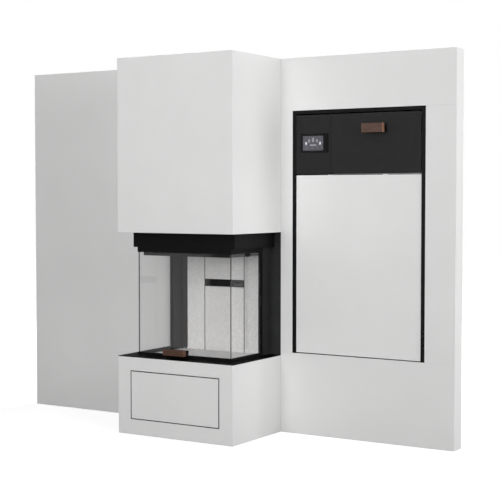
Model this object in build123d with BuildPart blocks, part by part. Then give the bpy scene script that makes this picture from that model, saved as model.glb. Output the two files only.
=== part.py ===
from build123d import *
import math
import os

# Three-sided lift-door fireplace insert in a white chimney breast,
# with a fuel hopper module built into the wall on its right.
# Millimetres, Z up, X to the right along the wall, Y into the wall.
# The origin is on the floor, in the middle of the whole footprint.

# Wall
wall_width = 3000
wall_height = 2200
wall_thickness = 100
board = 25
stud_width = 45
joint_gap = 0.3
module_left_margin = 80
module_right_margin = 180

# Chimney breast and base
breast_width = 800
breast_depth = 527
breast_bottom = 1184
base_height = 455
plate = 4
access_width = 618
access_height = 285
access_bottom = 91
access_gap = 4
flue_hole = 230

# Glass door
glass_width = 655
glass_front = 429
glass = 4
rail_height = 16
rail_depth = 14
seal_gap = 0.5
glass_top_depth = 94
top_rail_height = 45
top_rail_depth = 117
lift_travel = 560
corner_trim = 4
cover_strip = 1.2
clip_width = 40
clip_height = 19
clip_inset = 5
clip_spacing = 160

# Door handle
door_grip_width = 145
door_grip_centre = -33.5
door_grip_height = 35
door_grip_depth = 30
door_grip_lift = 15
door_grip_reach = 61
grip_round = 3
bracket_leg = 12
bracket_inset = 4

# Hood sleeve and inner top frame
hood_width = 710
hood_front = 434
hood_drop = 88
hood_height = 120
hood_clearance = 3.5
sheet = 2
top_frame_height = 20
top_frame_width = 30

# Side columns
column_inner = 304
column_front = 98
column_glass_lap = 12
column_rear = 95
column_spare_height = 88
rear_channel_inner = 271
stile_clearance = 2
stile_rear = 60
guide_thickness = 1.5

# Fire chamber lining
lining = 30
lining_front = 5
lining_joint = 2.5
centre_panel_width = 282
slot_rise = 392
slot_height = 46
slot_depth = 70
floor_depth = 2
floor_thickness = 25
pan_wall = 3
baffle_thickness = 25
baffle_gap = 60

# Smoke dome and flue
dome_half_width = 301
dome_front = 407
dome_wall = 3
dome_height = 273
dome_cone_height = 240
flue_outer = 150
flue_wall = 2
flue_centre = 200
flue_plate = 176
socket_length = 70
socket_clearance = 1

# Door lift
shaft_radius = 6
shaft_clearance = 0.05
shaft_y = -20
shaft_depth = 60
idler_rise = 61
pulley_radius = 24
pulley_width = 8
belt_gap = 0.3
belt = 1.5
idler_pin_radius = 4
weight_length = 485
weight_depth = 60
weight_clearance = 2.5
weight_drop = 60
clamp_rise = 131
clamp_height = 45
bearing_height = 36
bearing_width = 20

# Insert stand and air supply
stand_tube = 30
stand_wall = 2.5
stand_width = 560
stand_length = 380
stand_front = 395
leg_bottom = 45
foot_width = 90
foot_thickness = 6
foot_rod = 8
foot_grip = 40
foot_nut = 10
anchor_edge = 16
anchor_hole = 5.5
air_outer = 62.5
air_wall = 1.5
air_drop = 125
air_length = 150
air_box_set = 60
air_box_width = 170
air_box_depth = 150
flap_clearance = 0.6
flap_thickness = 2
flap_shaft = 4
flap_set = 34
flap_boss = 8
actuator_gap = 26
actuator_width = 35
actuator_depth = 50
actuator_height = 75
actuator_drop = 20

# Fuel module
module_height = 1417
module_bottom = 476
module_depth = 400
frame_side = 23.5
frame_top = 20
frame_depth = 25
cover_bottom = 482
cover_top = 1517
cover_recess = 4
cover_thickness = 18
cover_clearance = 0.5
tab_width = 28
tab_height = 3
tab_spacing = 347
panel_bottom = 1524
panel_top = 1865
panel_recess = 2
panel = 3
control_width = 227.5
hatch_side_gap = 4
keeper_bottom = 1610
keeper_top = 1740
hatch_gap = 2
mullion = 12
casing_margin = 20
casing_bottom = 60
casing_top = 1888
casing_wall = 2
inlet_offset = 90
inlet_width = 48
inlet_height = 28
inlet_depth = 30
control_depth = 60
control_length = 200
control_height = 280
control_offset = 60
foot_offset = 40

# Display
display_offset = 2.25
display_z = 1702
display_width = 134
display_height = 84
bezel_left_reach = 84
bezel_right_reach = 101
bezel_height = 110
bezel = 2

# Hatch
hinge_rise = 13
hinge_inset = 30
hinge_strip = 10
ear = 5
hinge_pin = 4
knuckle_radius = 5
knuckle_sink = 0.5
knuckle_length = 24
cheek = 2
cheek_radius = 310
cheek_angle = 42
cheek_low = 26
cheek_inset = 12
tie_radius = 5
hatch_grip_width = 133
hatch_grip_offset = 2.75
hatch_grip_bottom = 1752
hatch_grip_height = 54
hatch_grip_depth = 22
hatch_grip_reach = 45

# Hopper
hopper_margin = 60
hopper_front = 40
hopper_back = 370
hopper_top = 1495
hopper_shoulder = 1040
hopper_wall = 3
outlet_width = 110
outlet_depth = 60
outlet_offset = 60
neck_length = 70
neck_floor = 10
grille_bar = 5
grille_pitch = 45

# Auger
auger_y = 150
auger_lead = 80
auger_rise_low = 500
auger_high_x = 30
auger_rise_high = 149
auger_tube = 33
auger_wall = 2
screw_radius = 29.5
screw_shaft = 8
screw_pitch = 62
screw_tail = 30
screw_end = 20
flight = 3
gearbox = 80
gearbox_length = 50
motor_radius = 30
motor_length = 90
chute_x = 75
chute_width = 110
chute_mouth = 56
chute_drop = 34
mouth_depth = 24
drop_half = 22

# Values worked out from the sizes above
wall_y = (breast_depth - module_depth) / 2
half_wall = wall_width / 2
half_breast = breast_width / 2
half_glass = glass_width / 2
front_y = wall_y - breast_depth
glass_y = wall_y - glass_front
rear_y = wall_y + module_depth
hearth_top = base_height + plate
module_left = half_breast + module_left_margin
module_right = half_wall - module_right_margin
module_centre = (module_left + module_right) / 2
module_top = module_bottom + module_height
cover_left = module_left + frame_side
cover_right = module_right - frame_side
control_right = cover_left + control_width
hatch_left = control_right + hatch_gap
hatch_right = cover_right - hatch_side_gap
hatch_grip_centre = (hatch_left + hatch_right) / 2 + hatch_grip_offset
display_centre = (cover_left + control_right) / 2 - display_offset
bezel_left = display_centre - bezel_left_reach
bezel_right = display_centre + bezel_right_reach
casing_width = module_right - module_left - 2 * casing_margin
hopper_width = casing_width - 2 * hopper_margin
outlet_x = module_centre + outlet_offset
auger_low_x = outlet_x + auger_lead
auger_low_z = casing_bottom + auger_rise_low
rail_inner = half_glass - rail_depth
stile_inner = column_inner + sheet + stile_clearance
stile_outer = half_glass - glass - 0.1
belt_x = (stile_inner + stile_outer) / 2
belt_radius = pulley_radius + belt_gap
flue_y = wall_y - flue_centre
dome_rear = wall_y - 2
floor_top = base_height - floor_depth
air_z = base_height - air_drop
slot_bottom = floor_top + slot_rise
slot_top = slot_bottom + slot_height
auger_high_z = slot_top + auger_rise_high
glass_top = breast_bottom - glass_top_depth
top_rail_bottom = breast_bottom - top_rail_depth
top_rail_top = top_rail_bottom + top_rail_height
top_frame_bottom = top_rail_bottom - top_frame_height
hood_bottom = breast_bottom - hood_drop
hood_top = hood_bottom + hood_height
dome_shoulder = top_rail_bottom + dome_height
dome_top = dome_shoulder + dome_cone_height
door_grip_bottom = hearth_top + door_grip_lift
column_top = top_rail_top + lift_travel + column_spare_height
shaft_z = column_top - shaft_depth
weight_top = shaft_z - weight_drop
idler_z = hearth_top + idler_rise
clamp_bottom = hearth_top + clamp_rise


def block(x, y, z, mode=Mode.ADD):
    """A box between two limits on each axis."""
    with Locations(((x[0] + x[1]) / 2, (y[0] + y[1]) / 2, (z[0] + z[1]) / 2)):
        Box(abs(x[1] - x[0]), abs(y[1] - y[0]), abs(z[1] - z[0]), mode=mode)


def rod(start, axis, radius, length, mode=Mode.ADD):
    """A cylinder that runs from start along one row axis."""
    with Locations(Plane(origin=start, z_dir=axis)):
        Cylinder(radius, length, align=(Align.CENTER, Align.CENTER, Align.MIN), mode=mode)


os.makedirs("parts", exist_ok=True)
x_axis = (1, 0, 0)
y_axis = (0, 1, 0)
z_axis = (0, 0, 1)

# Wall boards: two white faces, and the strips that close the ends and the top
stud_y = (wall_y + board, wall_y + wall_thickness)
strip_y = (stud_y[0] + joint_gap, stud_y[1])
with BuildPart() as wall_boards:
    block((-half_wall, -half_breast), (wall_y, wall_y + board), (0, wall_height))
    for z in ((0, module_bottom), (module_top, wall_height)):
        block((half_breast, half_wall), (wall_y, wall_y + board), z)
    for x in ((half_breast, module_left), (module_right, half_wall)):
        block(
            x,
            (wall_y, wall_y + board),
            (module_bottom + joint_gap, module_top - joint_gap),
        )
    for side in (-1, 1):
        block((side * half_wall, side * (half_wall - board)), strip_y, (0, wall_height))
        block(
            (side * (half_wall - board - joint_gap), side * half_breast),
            strip_y,
            (wall_height - board, wall_height),
        )
wall_boards.part.label = "wall_boards"
export_step(wall_boards.part, "parts/wall_boards.step")

# Timber frame behind the boards: sole plates, head plates, studs and a trimmer
stud_low = stud_width + joint_gap
stud_high = wall_height - board - stud_width - joint_gap
stud_ends = half_wall - board - joint_gap
left_studs = [
    stud_ends - stud_width / 2,
    (half_wall + half_breast) / 2,
    half_breast + stud_width / 2,
]
right_studs = [
    half_breast + stud_width / 2,
    module_right + stud_width / 2,
    stud_ends - stud_width / 2,
]
with BuildPart() as wall_frame:
    for x in [-value for value in left_studs] + right_studs:
        block((x - stud_width / 2, x + stud_width / 2), stud_y, (stud_low, stud_high))
    for side in (-1, 1):
        for z in (0, stud_high + joint_gap):
            block((side * stud_ends, side * half_breast), stud_y, (z, z + stud_width))
    block(
        (half_breast + stud_width + joint_gap, module_right - joint_gap),
        stud_y,
        (module_top + board, module_top + board + stud_width),
    )
wall_frame.part.label = "wall_frame"
export_step(wall_frame.part, "parts/wall_frame.step")

# Chimney breast boards
with BuildPart() as breast_front_board:
    block((-half_breast, half_breast), (front_y, front_y + board), (breast_bottom, wall_height))
breast_front_board.part.label = "breast_front_board"
export_step(breast_front_board.part, "parts/breast_front_board.step")

with BuildPart() as breast_side_boards:
    for side in (-1, 1):
        block(
            (side * half_breast, side * (half_breast - board)),
            (front_y + board, wall_y + wall_thickness),
            (breast_bottom, wall_height),
        )
breast_side_boards.part.label = "breast_side_boards"
export_step(breast_side_boards.part, "parts/breast_side_boards.step")

# Boards that close the breast above, round the flue, and below, round the hood
breast_inside = half_breast - board
with BuildPart() as breast_end_boards:
    block(
        (-breast_inside, breast_inside),
        (front_y + board, wall_y + wall_thickness),
        (wall_height - board, wall_height),
    )
    rod((0, flue_y, wall_height - board), z_axis, flue_hole / 2, board, Mode.SUBTRACT)
    block(
        (-breast_inside, breast_inside),
        (front_y + board, wall_y),
        (breast_bottom, breast_bottom + board),
    )
    block(
        (-hood_width / 2, hood_width / 2),
        (wall_y - hood_front, wall_y),
        (breast_bottom, breast_bottom + board),
        Mode.SUBTRACT,
    )
breast_end_boards.part.label = "breast_end_boards"
export_step(breast_end_boards.part, "parts/breast_end_boards.step")

# Base boards
access_centre_z = access_bottom + access_height / 2
with BuildPart() as base_front_board:
    block((-half_breast, half_breast), (front_y, front_y + board), (0, base_height))
    block(
        (-access_width / 2, access_width / 2),
        (front_y, front_y + board),
        (access_bottom, access_bottom + access_height),
        Mode.SUBTRACT,
    )
base_front_board.part.label = "base_front_board"
export_step(base_front_board.part, "parts/base_front_board.step")

with BuildPart() as base_side_boards:
    for side in (-1, 1):
        block(
            (side * half_breast, side * (half_breast - board)),
            (front_y + board, wall_y + wall_thickness),
            (0, base_height),
        )
base_side_boards.part.label = "base_side_boards"
export_step(base_side_boards.part, "parts/base_side_boards.step")

# Access panel, held by magnets on two battens
with BuildPart() as access_panel:
    with BuildSketch(Plane.XZ.offset(-front_y)):
        with Locations((0, access_centre_z)):
            Rectangle(access_width - 2 * access_gap, access_height - 2 * access_gap)
    extrude(amount=-board)
    front_edges = access_panel.faces().sort_by(Axis.Y)[0].edges()
    chamfer(front_edges, 1)
access_panel.part.label = "access_panel"
export_step(access_panel.part, "parts/access_panel.step")

batten_lap = 20
batten_reach = 30
magnet_radius = 10
magnet_thickness = 5
magnet_gap = 0.5
magnet_x = access_width / 2 - access_gap - magnet_radius - 2
batten_y = (front_y + board + magnet_gap + magnet_thickness, front_y + board + batten_reach)
with BuildPart() as access_catches:
    for side in (-1, 1):
        block(
            (side * (access_width / 2 - batten_reach), side * (access_width / 2 + batten_lap)),
            batten_y,
            (access_bottom - batten_lap, access_bottom + access_height + batten_lap),
        )
        block(
            (side * (access_width / 2 + 1), side * (access_width / 2 + batten_lap)),
            (front_y + board, batten_y[0]),
            (access_bottom - batten_lap, access_bottom + access_height + batten_lap),
        )
        for z in (access_bottom + batten_reach, access_bottom + access_height - batten_reach):
            start = (side * magnet_x, batten_y[0] - magnet_thickness, z)
            rod(start, y_axis, magnet_radius, magnet_thickness)
access_catches.part.label = "access_catches"
export_step(access_catches.part, "parts/access_catches.step")

# Black hearth plate, with the cut-out for the fire chamber
pan_half = rail_inner - 1
with BuildPart() as hearth_plate:
    block((-half_breast, half_breast), (front_y, wall_y), (base_height, hearth_top))
    block(
        (-rail_inner, rail_inner),
        (glass_y + rail_depth, wall_y),
        (base_height, hearth_top),
        Mode.SUBTRACT,
    )
hearth_plate.part.label = "hearth_plate"
export_step(hearth_plate.part, "parts/hearth_plate.step")

# Fire chamber pan, floor and rear lining
pan_front = glass_y + rail_depth + 1
pan_back = wall_y + lining_front + lining + pan_wall + 1
floor_bottom = floor_top - floor_thickness
with BuildPart() as base_pan:
    block((-pan_half, pan_half), (pan_front, wall_y), (floor_bottom - pan_wall, floor_top))
    block(
        (-pan_half + pan_wall, pan_half - pan_wall),
        (pan_front + pan_wall, wall_y),
        (floor_bottom, floor_top),
        Mode.SUBTRACT,
    )
    block(
        (-rear_channel_inner + 1, rear_channel_inner - 1),
        (wall_y, pan_back),
        (floor_bottom - pan_wall, floor_bottom),
    )
    for side in (-1, 1):
        block(
            (side * (rear_channel_inner - 1), side * pan_half),
            (wall_y - pan_wall, wall_y),
            (floor_bottom, hearth_top - joint_gap),
        )
base_pan.part.label = "base_pan"
export_step(base_pan.part, "parts/base_pan.step")

lining_front_y = pan_front + pan_wall + 1
with BuildPart() as floor_lining:
    block(
        (-column_inner + 2, column_inner - 2),
        (lining_front_y, wall_y - pan_wall - 1),
        (floor_bottom, floor_top),
    )
    block(
        (-pan_half + pan_wall + 1, pan_half - pan_wall - 1),
        (lining_front_y, wall_y - column_front - 2),
        (floor_bottom, floor_top),
    )
    block(
        (-rear_channel_inner + 2, rear_channel_inner - 2),
        (wall_y - pan_wall - 1, wall_y + lining_front - lining_joint),
        (floor_bottom, floor_top),
    )
floor_lining.part.label = "floor_lining"
export_step(floor_lining.part, "parts/floor_lining.step")

lining_y = (wall_y + lining_front, wall_y + lining_front + lining)
lining_top = top_frame_bottom + 16
half_centre = centre_panel_width / 2
lining_side = rear_channel_inner - joint_gap
with BuildPart() as rear_lining:
    for side in (-1, 1):
        block(
            (side * (half_centre + lining_joint), side * lining_side),
            lining_y,
            (floor_bottom, lining_top),
        )
    block((-half_centre, half_centre), lining_y, (floor_bottom, slot_bottom))
    block((-half_centre, half_centre), lining_y, (slot_top, lining_top))
rear_lining.part.label = "rear_lining"
export_step(rear_lining.part, "parts/rear_lining.step")

# Steel back behind the lining, with the box behind the slot
casing_y = (lining_y[1] + joint_gap, lining_y[1] + joint_gap + pan_wall)
slot_back = wall_y + lining_front + slot_depth
mouth_half = chute_width / 2 - sheet
with BuildPart() as chamber_back:
    block((-lining_side, lining_side), casing_y, (floor_bottom, lining_top + 4))
    step_y = (dome_rear + joint_gap, casing_y[0])
    block((-lining_side, lining_side), step_y, (lining_top + 1, lining_top + 4))
    block(
        (-half_centre - sheet, half_centre + sheet),
        (casing_y[1], slot_back + sheet),
        (slot_bottom - sheet, slot_top + sheet),
    )
    block((-half_centre, half_centre), (casing_y[0], slot_back), (slot_bottom, slot_top), Mode.SUBTRACT)
    block(
        (chute_x - mouth_half, chute_x + mouth_half),
        (slot_back - mouth_depth, slot_back),
        (slot_top, slot_top + sheet),
        Mode.SUBTRACT,
    )
chamber_back.part.label = "chamber_back"
export_step(chamber_back.part, "parts/chamber_back.step")

# Side columns, a bent sheet on each side, with the fixed pins of the idler wheels
column_z = (hearth_top, column_top)
outer = half_glass
outer_start = wall_y - column_front + column_glass_lap
pin_start = column_inner + sheet
with BuildPart() as side_columns:
    for side in (-1, 1):
        inner_x = (side * column_inner, side * (column_inner + sheet))
        channel_x = (side * rear_channel_inner, side * (rear_channel_inner + sheet))
        outer_x = (side * (outer - sheet), side * outer)
        block(outer_x, (outer_start, wall_y + column_rear), column_z)
        block(inner_x, (wall_y - column_front, wall_y), column_z)
        block((channel_x[0], inner_x[1]), (wall_y, wall_y + sheet), column_z)
        block(channel_x, (wall_y + sheet, wall_y + column_rear), column_z)
        block(
            (channel_x[0], outer_x[1]),
            (wall_y + column_rear, wall_y + column_rear + sheet),
            column_z,
        )
        for x in (side * column_inner, side * (outer - sheet / 2)):
            rod((x - 5, wall_y + shaft_y, shaft_z), x_axis, shaft_radius + 2, 10, Mode.SUBTRACT)
        rod(
            (side * pin_start, wall_y + shaft_y, idler_z),
            (side, 0, 0),
            idler_pin_radius,
            outer - sheet - pin_start,
        )
side_columns.part.label = "side_columns"
export_step(side_columns.part, "parts/side_columns.step")

# Black flanges beside the columns, flush with the wall
with BuildPart() as wall_flanges:
    for side in (-1, 1):
        block(
            (side * (outer + 0.5), side * half_breast),
            (wall_y, wall_y + sheet),
            (hearth_top, breast_bottom),
        )
wall_flanges.part.label = "wall_flanges"
export_step(wall_flanges.part, "parts/wall_flanges.step")

with BuildPart() as guide_strips:
    for side in (-1, 1):
        block(
            (side * pin_start, side * (pin_start + guide_thickness)),
            (wall_y - column_front + 4, wall_y - stile_rear - 4),
            (hearth_top + 10, column_top - 20),
        )
guide_strips.part.label = "guide_strips"
export_step(guide_strips.part, "parts/guide_strips.step")

# Smoke dome: top frame, walls, hood and the plate with the flue hole
dome_y = (wall_y - dome_front, dome_rear)
dome_middle_y = (dome_y[0] + dome_y[1]) / 2
dome_length = dome_y[1] - dome_y[0]
with BuildPart() as smoke_dome:
    with BuildSketch(Plane.XY.offset(top_frame_bottom)):
        with Locations((0, dome_middle_y)):
            Rectangle(2 * dome_half_width, dome_length)
            Rectangle(
                2 * (dome_half_width - top_frame_width),
                dome_length - 2 * top_frame_width,
                mode=Mode.SUBTRACT,
            )
    extrude(amount=top_rail_bottom - top_frame_bottom)
    with BuildSketch(Plane.XY.offset(top_rail_bottom)):
        with Locations((0, dome_middle_y)):
            Rectangle(2 * dome_half_width, dome_length)
            Rectangle(
                2 * (dome_half_width - dome_wall),
                dome_length - 2 * dome_wall,
                mode=Mode.SUBTRACT,
            )
    extrude(amount=dome_shoulder - top_rail_bottom)
    for wall, mode in ((0, Mode.ADD), (dome_wall, Mode.SUBTRACT)):
        with BuildSketch(Plane.XY.offset(dome_shoulder)):
            with Locations((0, dome_middle_y)):
                Rectangle(2 * (dome_half_width - wall), dome_length - 2 * wall)
        with BuildSketch(Plane.XY.offset(dome_top)):
            with Locations((0, flue_y)):
                Rectangle(flue_plate - 2 * wall, flue_plate - 2 * wall)
        loft(ruled=True, mode=mode)
    with BuildSketch(Plane.XY.offset(dome_top)):
        with Locations((0, flue_y)):
            Rectangle(flue_plate, flue_plate)
            Circle(flue_outer / 2 - flue_wall, mode=Mode.SUBTRACT)
    extrude(amount=plate)
smoke_dome.part.label = "smoke_dome"
export_step(smoke_dome.part, "parts/smoke_dome.step")

with BuildPart() as baffle_plate:
    block(
        (-dome_half_width + dome_wall + 2, dome_half_width - dome_wall - 2),
        (dome_y[0] + top_frame_width + baffle_gap, dome_y[1] - dome_wall - 1),
        (top_rail_bottom, top_rail_bottom + baffle_thickness),
    )
baffle_plate.part.label = "baffle_plate"
export_step(baffle_plate.part, "parts/baffle_plate.step")

# Flue pipe up to the socket at the top of the breast
pipe_top = wall_height - socket_length
socket_inner = flue_outer / 2 + socket_clearance
pipe_inner = flue_outer / 2 - flue_wall
with BuildPart() as flue_pipe:
    for low, high, outside, inside in (
        (dome_top + plate, pipe_top, flue_outer / 2, pipe_inner),
        (pipe_top - flue_wall, pipe_top, socket_inner + flue_wall, pipe_inner),
        (pipe_top, wall_height, socket_inner + flue_wall, socket_inner),
    ):
        with BuildSketch(Plane.XY.offset(low)):
            with Locations((0, flue_y)):
                Circle(outside)
                Circle(inside, mode=Mode.SUBTRACT)
        extrude(amount=high - low)
flue_pipe.part.label = "flue_pipe"
export_step(flue_pipe.part, "parts/flue_pipe.step")

# Hood sleeve round the top of the glass, with a return under its sides
hood_half = hood_width / 2
hood_y = wall_y - hood_front
with BuildPart() as hood_sleeve:
    block((-hood_half, hood_half), (hood_y, hood_y + sheet), (hood_bottom, hood_top))
    for side in (-1, 1):
        block(
            (side * hood_half, side * (hood_half - sheet)),
            (hood_y + sheet, wall_y),
            (hood_bottom, hood_top),
        )
        block(
            (side * (hood_half - sheet), side * (half_glass + hood_clearance)),
            (hood_y + sheet, wall_y),
            (hood_bottom, hood_bottom + sheet),
        )
hood_sleeve.part.label = "hood_sleeve"
export_step(hood_sleeve.part, "parts/hood_sleeve.step")

# Sliding glass door
rail_bottom = hearth_top + seal_gap
rail_top = rail_bottom + rail_height
glass_rear = outer_start - 1
glass_z = (rail_top, glass_top)
with BuildPart() as door_glass_front:
    block((-half_glass + glass, half_glass - glass), (glass_y, glass_y + glass), glass_z)
door_glass_front.part.label = "door_glass_front"
export_step(door_glass_front.part, "parts/door_glass_front.step")

with BuildPart() as door_glass_sides:
    for side in (-1, 1):
        block((side * half_glass, side * (half_glass - glass)), (glass_y, glass_rear), glass_z)
door_glass_sides.part.label = "door_glass_sides"
export_step(door_glass_sides.part, "parts/door_glass_sides.step")


def door_ring(low, high, inset, depth):
    """A rail round the door's three sides, inset from the glass's outer faces."""
    x = half_glass - inset
    block((-x, x), (glass_y + inset, glass_rear), (low, high))
    block((depth - x, x - depth), (glass_y + inset + depth, glass_rear), (low, high), Mode.SUBTRACT)


# Bottom rail, with the black bracket of the handle
grip_left = door_grip_centre - door_grip_width / 2
grip_right = door_grip_centre + door_grip_width / 2
grip_front = glass_y - door_grip_reach
grip_back = grip_front + door_grip_depth
grip_top = door_grip_bottom + door_grip_height
bracket_top = grip_top - bracket_inset
with BuildPart() as door_bottom_rail:
    door_ring(rail_bottom, rail_top, 0, rail_depth)
    block(
        (grip_left + bracket_inset, grip_right - bracket_inset),
        (glass_y - sheet, glass_y),
        (rail_bottom, bracket_top),
    )
    for x in (grip_left + bracket_inset, grip_right - bracket_inset - bracket_leg):
        block((x, x + bracket_leg), (grip_back, glass_y - sheet), (door_grip_bottom + 2, bracket_top))
door_bottom_rail.part.label = "door_bottom_rail"
export_step(door_bottom_rail.part, "parts/door_bottom_rail.step")

with BuildPart() as door_handle_grip:
    block((grip_left, grip_right), (grip_front, grip_back), (door_grip_bottom, grip_top))
    fillet(door_handle_grip.edges(), grip_round)
door_handle_grip.part.label = "door_handle_grip"
export_step(door_handle_grip.part, "parts/door_handle_grip.step")

# Top rail: a groove over the glass, with a thin cover strip outside it
with BuildPart() as door_top_rail:
    door_ring(top_rail_bottom, top_rail_top, glass, rail_depth - glass)
    door_ring(glass_top, top_rail_top, -cover_strip, rail_depth + cover_strip)
    door_ring(top_rail_bottom, glass_top, -cover_strip, cover_strip)
door_top_rail.part.label = "door_top_rail"
export_step(door_top_rail.part, "parts/door_top_rail.step")

# Black trims: a bar inside each front corner of the glass, and clips on its sides
with BuildPart() as door_trims:
    for side in (-1, 1):
        corner = half_glass - glass
        block(
            (side * corner, side * (corner - corner_trim)),
            (glass_y + glass, glass_y + glass + corner_trim),
            (rail_top, top_rail_bottom),
        )
        for y in (glass_rear - clip_width / 2 - clip_inset, glass_rear - clip_spacing):
            block(
                (side * half_glass, side * (half_glass + cover_strip)),
                (y - clip_width / 2, y + clip_width / 2),
                (top_rail_bottom - clip_height, top_rail_bottom),
            )
door_trims.part.label = "door_trims"
export_step(door_trims.part, "parts/door_trims.step")

# Stiles that run in the columns, with the belt clamps
stile_x = (stile_inner, stile_outer)
belt_half = pulley_width / 2
belt_front = shaft_y - belt_radius - belt
with BuildPart() as door_stiles:
    for side in (-1, 1):
        block(
            (side * stile_x[0], side * stile_x[1]),
            (glass_rear, wall_y - stile_rear),
            (rail_bottom, top_rail_top),
        )
        block(
            (side * stile_x[0], side * stile_x[1]),
            (wall_y - column_front - 1, glass_rear),
            (rail_top, top_rail_bottom),
        )
        block(
            (side * (belt_x - belt_half), side * (belt_x + belt_half)),
            (wall_y - stile_rear, wall_y + belt_front - belt_gap),
            (clamp_bottom, clamp_bottom + clamp_height),
        )
door_stiles.part.label = "door_stiles"
export_step(door_stiles.part, "parts/door_stiles.step")

# Door lift: one shaft with two pulleys, belts, idler wheels and counterweights
shaft_end = outer - sheet - 1
with BuildPart() as lift_shaft:
    rod((-shaft_end, wall_y + shaft_y, shaft_z), x_axis, shaft_radius, 2 * shaft_end)
    for side in (-1, 1):
        start = (side * belt_x - belt_half, wall_y + shaft_y, shaft_z)
        rod(start, x_axis, pulley_radius, pulley_width)
lift_shaft.part.label = "lift_shaft"
export_step(lift_shaft.part, "parts/lift_shaft.step")

with BuildPart() as shaft_bearings:
    for side in (-1, 1):
        block(
            (side * column_inner, side * (column_inner - bearing_width)),
            (wall_y + shaft_y - bearing_height / 2, wall_y + shaft_y + bearing_height / 2),
            (shaft_z - bearing_height / 2, shaft_z + bearing_height / 2),
        )
        rod(
            (side * column_inner, wall_y + shaft_y, shaft_z),
            (-side, 0, 0),
            shaft_radius + shaft_clearance,
            bearing_width,
            Mode.SUBTRACT,
        )
shaft_bearings.part.label = "shaft_bearings"
export_step(shaft_bearings.part, "parts/shaft_bearings.step")

belt_length = shaft_z - idler_z
with BuildPart() as lift_belts:
    for side in (-1, 1):
        with BuildSketch(Plane.YZ.offset(side * belt_x - belt_half)):
            with Locations((wall_y + shaft_y, (shaft_z + idler_z) / 2)):
                SlotCenterToCenter(belt_length, 2 * (belt_radius + belt), rotation=90)
                SlotCenterToCenter(belt_length, 2 * belt_radius, rotation=90, mode=Mode.SUBTRACT)
        extrude(amount=pulley_width)
lift_belts.part.label = "lift_belts"
export_step(lift_belts.part, "parts/lift_belts.step")

weight_front = wall_y + shaft_y + belt_radius + belt + belt_gap
for side, name in ((-1, "left"), (1, "right")):
    with BuildPart() as idler:
        start = (side * belt_x - belt_half, wall_y + shaft_y, idler_z)
        rod(start, x_axis, pulley_radius, pulley_width)
        rod(start, x_axis, idler_pin_radius + shaft_clearance, pulley_width, Mode.SUBTRACT)
    idler.part.label = f"idler_{name}"
    export_step(idler.part, f"parts/idler_{name}.step")

    with BuildPart() as counterweight:
        block(
            (
                side * (rear_channel_inner + sheet + weight_clearance),
                side * (outer - sheet - weight_clearance),
            ),
            (weight_front, weight_front + weight_depth),
            (weight_top - weight_length, weight_top),
        )
    counterweight.part.label = f"counterweight_{name}"
    export_step(counterweight.part, f"parts/counterweight_{name}.step")

# Stand under the fire chamber, of square tube
half_stand = stand_width / 2
stand_ys = (wall_y - stand_front, wall_y - stand_front + stand_length)
pan_bottom = floor_bottom - pan_wall
tube_half = stand_tube / 2
with BuildPart() as insert_stand:
    for x in (-half_stand, half_stand):
        for y in stand_ys:
            with BuildSketch(Plane.XY.offset(leg_bottom)):
                with Locations((x, y)):
                    Rectangle(stand_tube, stand_tube)
                    Rectangle(
                        stand_tube - 2 * stand_wall,
                        stand_tube - 2 * stand_wall,
                        mode=Mode.SUBTRACT,
                    )
            extrude(amount=pan_bottom - stand_tube - joint_gap - leg_bottom)
        block(
            (x - tube_half, x + tube_half),
            (stand_ys[0] - tube_half, stand_ys[1] + tube_half),
            (pan_bottom - stand_tube, pan_bottom),
        )
insert_stand.part.label = "insert_stand"
export_step(insert_stand.part, "parts/insert_stand.step")

with BuildPart() as stand_feet:
    for x in (-half_stand, half_stand):
        for y in stand_ys:
            block(
                (x - foot_width / 2, x + foot_width / 2),
                (y - foot_width / 2, y + foot_width / 2),
                (0, foot_thickness),
            )
            rod((x, y, foot_thickness), z_axis, foot_rod, leg_bottom + foot_grip - foot_thickness)
            rod((x, y, leg_bottom - foot_nut), z_axis, foot_rod + 5, foot_nut)
            anchor = (x, y - foot_width / 2 + anchor_edge, 0)
            rod(anchor, z_axis, anchor_hole, foot_thickness, Mode.SUBTRACT)
stand_feet.part.label = "stand_feet"
export_step(stand_feet.part, "parts/stand_feet.step")

# Combustion air: a box under the pan, a spigot to the rear, and its flap
air_centre_y = wall_y - air_box_set
air_box_z = (air_z - air_outer - 12, pan_bottom)
air_box_y = (air_centre_y - air_box_depth / 2, air_centre_y + air_box_depth / 2)
air_bore = air_outer - air_wall
with BuildPart() as air_box:
    block((-air_box_width / 2, air_box_width / 2), air_box_y, air_box_z)
    block(
        (-air_box_width / 2 + sheet, air_box_width / 2 - sheet),
        (air_box_y[0] + sheet, air_box_y[1] - sheet),
        (air_box_z[0] + sheet, air_box_z[1]),
        Mode.SUBTRACT,
    )
    rod((0, air_box_y[1] - sheet, air_z), y_axis, air_bore, sheet, Mode.SUBTRACT)
air_box.part.label = "air_box"
export_step(air_box.part, "parts/air_box.step")

flap_y = air_box_y[1] + flap_set
with BuildPart() as air_spigot:
    rod((0, air_box_y[1], air_z), y_axis, air_outer, air_length)
    rod((0, air_box_y[1], air_z), y_axis, air_outer + air_wall, flap_set + flap_boss + 4)
    for side in (-1, 1):
        rod((side * air_bore, flap_y, air_z), (side, 0, 0), flap_boss, air_wall + 8)
    rod((0, air_box_y[1], air_z), y_axis, air_bore, air_length, Mode.SUBTRACT)
    rod(
        (-air_outer - 12, flap_y, air_z),
        x_axis,
        flap_shaft + shaft_clearance,
        2 * air_outer + 24,
        Mode.SUBTRACT,
    )
air_spigot.part.label = "air_spigot"
export_step(air_spigot.part, "parts/air_spigot.step")

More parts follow.
